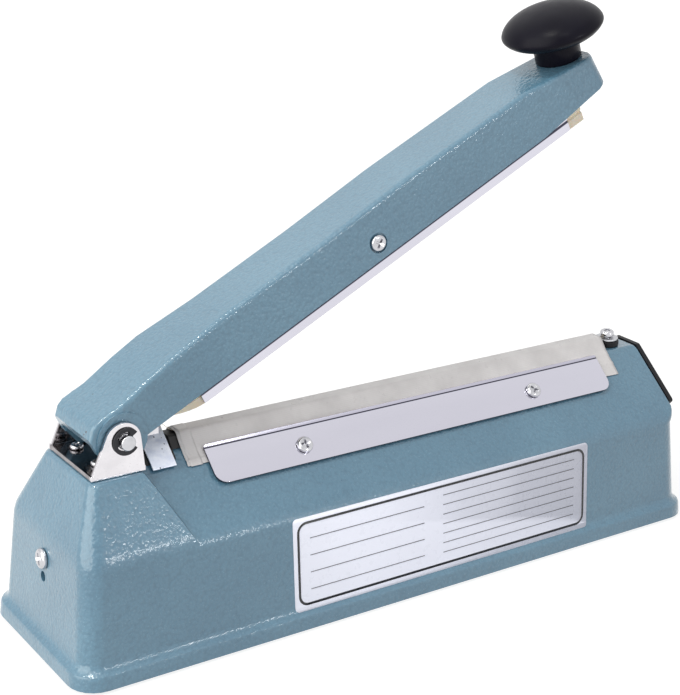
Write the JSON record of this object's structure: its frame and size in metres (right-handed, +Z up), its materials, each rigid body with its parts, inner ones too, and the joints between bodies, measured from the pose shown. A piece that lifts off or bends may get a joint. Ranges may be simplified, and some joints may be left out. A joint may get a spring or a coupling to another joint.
{
  "type": "hand impulse sealer",
  "caption": "Cast metal bag sealer with a hinged arm and mushroom knob that press a silicone strip onto a heated, cloth covered ridge, with timer dial and lamp on its end",
  "frame": {"origin": "on the table, below the middle of the outer box of the sealer with its arm open", "axes": "+X along the base from the hinge to the timer dial, +Y from the front wall to the rear wall, +Z up"},
  "size_m": [0.3324, 0.088, 0.2436],
  "materials": {
    "hammered_paint": "blue grey hammered paint on cast metal",
    "chrome": "bright chromium plate",
    "polished_steel": "polished stainless sheet",
    "zinc_plate": "bluish zinc plating",
    "plain_steel": "plain steel",
    "black_steel": "blackened spring steel",
    "black_plastic": "matt black phenolic plastic",
    "gloss_plastic": "glossy black moulded plastic",
    "silicone": "cream silicone rubber",
    "rubber": "black rubber",
    "release_cloth": "grey coated glass cloth",
    "red_lens": "red translucent plastic",
    "circuit_board": "green lacquered board",
    "copper": "lacquered copper winding",
    "laminations": "dark varnished steel laminations"
  },
  "bodies": {
    "base": {"base_casting": "hammered_paint", "hinge_bracket": "chrome", "bracket_screw_front": "chrome", "bracket_screw_rear": "chrome", "hinge_pin": "chrome", "end_screw": "chrome", "terminal_screw": "chrome", "clamp_screw_front_left": "chrome", "clamp_screw_front_right": "chrome", "clamp_screw_rear_left": "chrome", "clamp_screw_rear_right": "chrome", "clamp_plate_front": "polished_steel", "clamp_plate_rear": "polished_steel", "tension_bridge": "zinc_plate", "terminal_washer": "zinc_plate", "bottom_plate": "zinc_plate", "timer_potentiometer": "zinc_plate", "timer_nut": "zinc_plate", "transformer_frame": "zinc_plate", "switch_bracket": "zinc_plate", "return_spring": "plain_steel", "foot_screw_left_front": "plain_steel", "foot_screw_left_rear": "plain_steel", "foot_screw_right_front": "plain_steel", "foot_screw_right_rear": "plain_steel", "panel_screw_front": "plain_steel", "panel_screw_rear": "plain_steel", "transformer_screw_left": "plain_steel", "transformer_screw_right": "plain_steel", "terminal_nut": "plain_steel", "ribbon_anchor": "plain_steel", "heating_ribbon": "plain_steel", "retaining_ring_front": "black_steel", "retaining_ring_rear": "black_steel", "control_panel": "black_plastic", "seal_platform": "black_plastic", "bridge_insulator": "black_plastic", "terminal_bush": "black_plastic", "lamp_body": "black_plastic", "switch_body": "black_plastic", "foot_left_front": "rubber", "foot_left_rear": "rubber", "foot_right_front": "rubber", "foot_right_rear": "rubber", "inlet_gland": "rubber", "release_cloth": "release_cloth", "lamp_lens": "red_lens", "timer_board": "circuit_board", "transformer_winding": "copper", "transformer_core": "laminations"},
    "arm": {"arm_casting": "hammered_paint", "press_knob": "gloss_plastic", "knob_screw": "plain_steel", "press_pivot_screw": "chrome", "press_pivot_nut": "chrome"},
    "press_bar": {"press_bar_holder": "polished_steel", "silicone_strip": "silicone"},
    "rod": {"switch_rod": "plain_steel"},
    "lever": {"switch_lever": "plain_steel"},
    "timer": {"timer_knob": "gloss_plastic"}
  },
  "joints": [
    {"name": "arm_hinge", "type": "hinge", "parent": "base", "child": "arm", "pos_m": [-0.13272, 0, 0.0918], "axis": [0, 1, 0], "range_deg": [0, 22.1], "stiffness_Nm_per_rad": 1.3, "springref_deg": -48.7, "deforming": ["return_spring"]},
    {"name": "press_bar_pivot", "type": "hinge", "parent": "arm", "child": "press_bar", "pos_m": [-0.01402, 0, 0.15292], "axis": [0, 1, 0], "range_deg": [0, 4.5]},
    {"name": "switch_rod_slide", "type": "slide", "parent": "base", "child": "rod", "axis": [0, 0, -1], "range_m": [0, 0.00351]},
    {"name": "switch_lever_hinge", "type": "hinge", "parent": "base", "child": "lever", "pos_m": [-0.14332, 0, 0.0639], "axis": [0, 1, 0], "range_deg": [0, 9.25]},
    {"name": "timer_turn", "type": "hinge", "parent": "base", "child": "timer", "pos_m": [0.1499, 0, 0.04556], "axis": [0.9971, 0, 0.0767], "range_deg": [0, 300]}
  ],
  "couplings": [
    {"joint": "press_bar_pivot", "follows": "arm_hinge", "ratio": 0.2036},
    {"joint": "switch_rod_slide", "follows": "arm_hinge", "m_per_rad": 0.0091},
    {"joint": "switch_lever_hinge", "follows": "arm_hinge", "ratio": 0.4186}
  ]
}
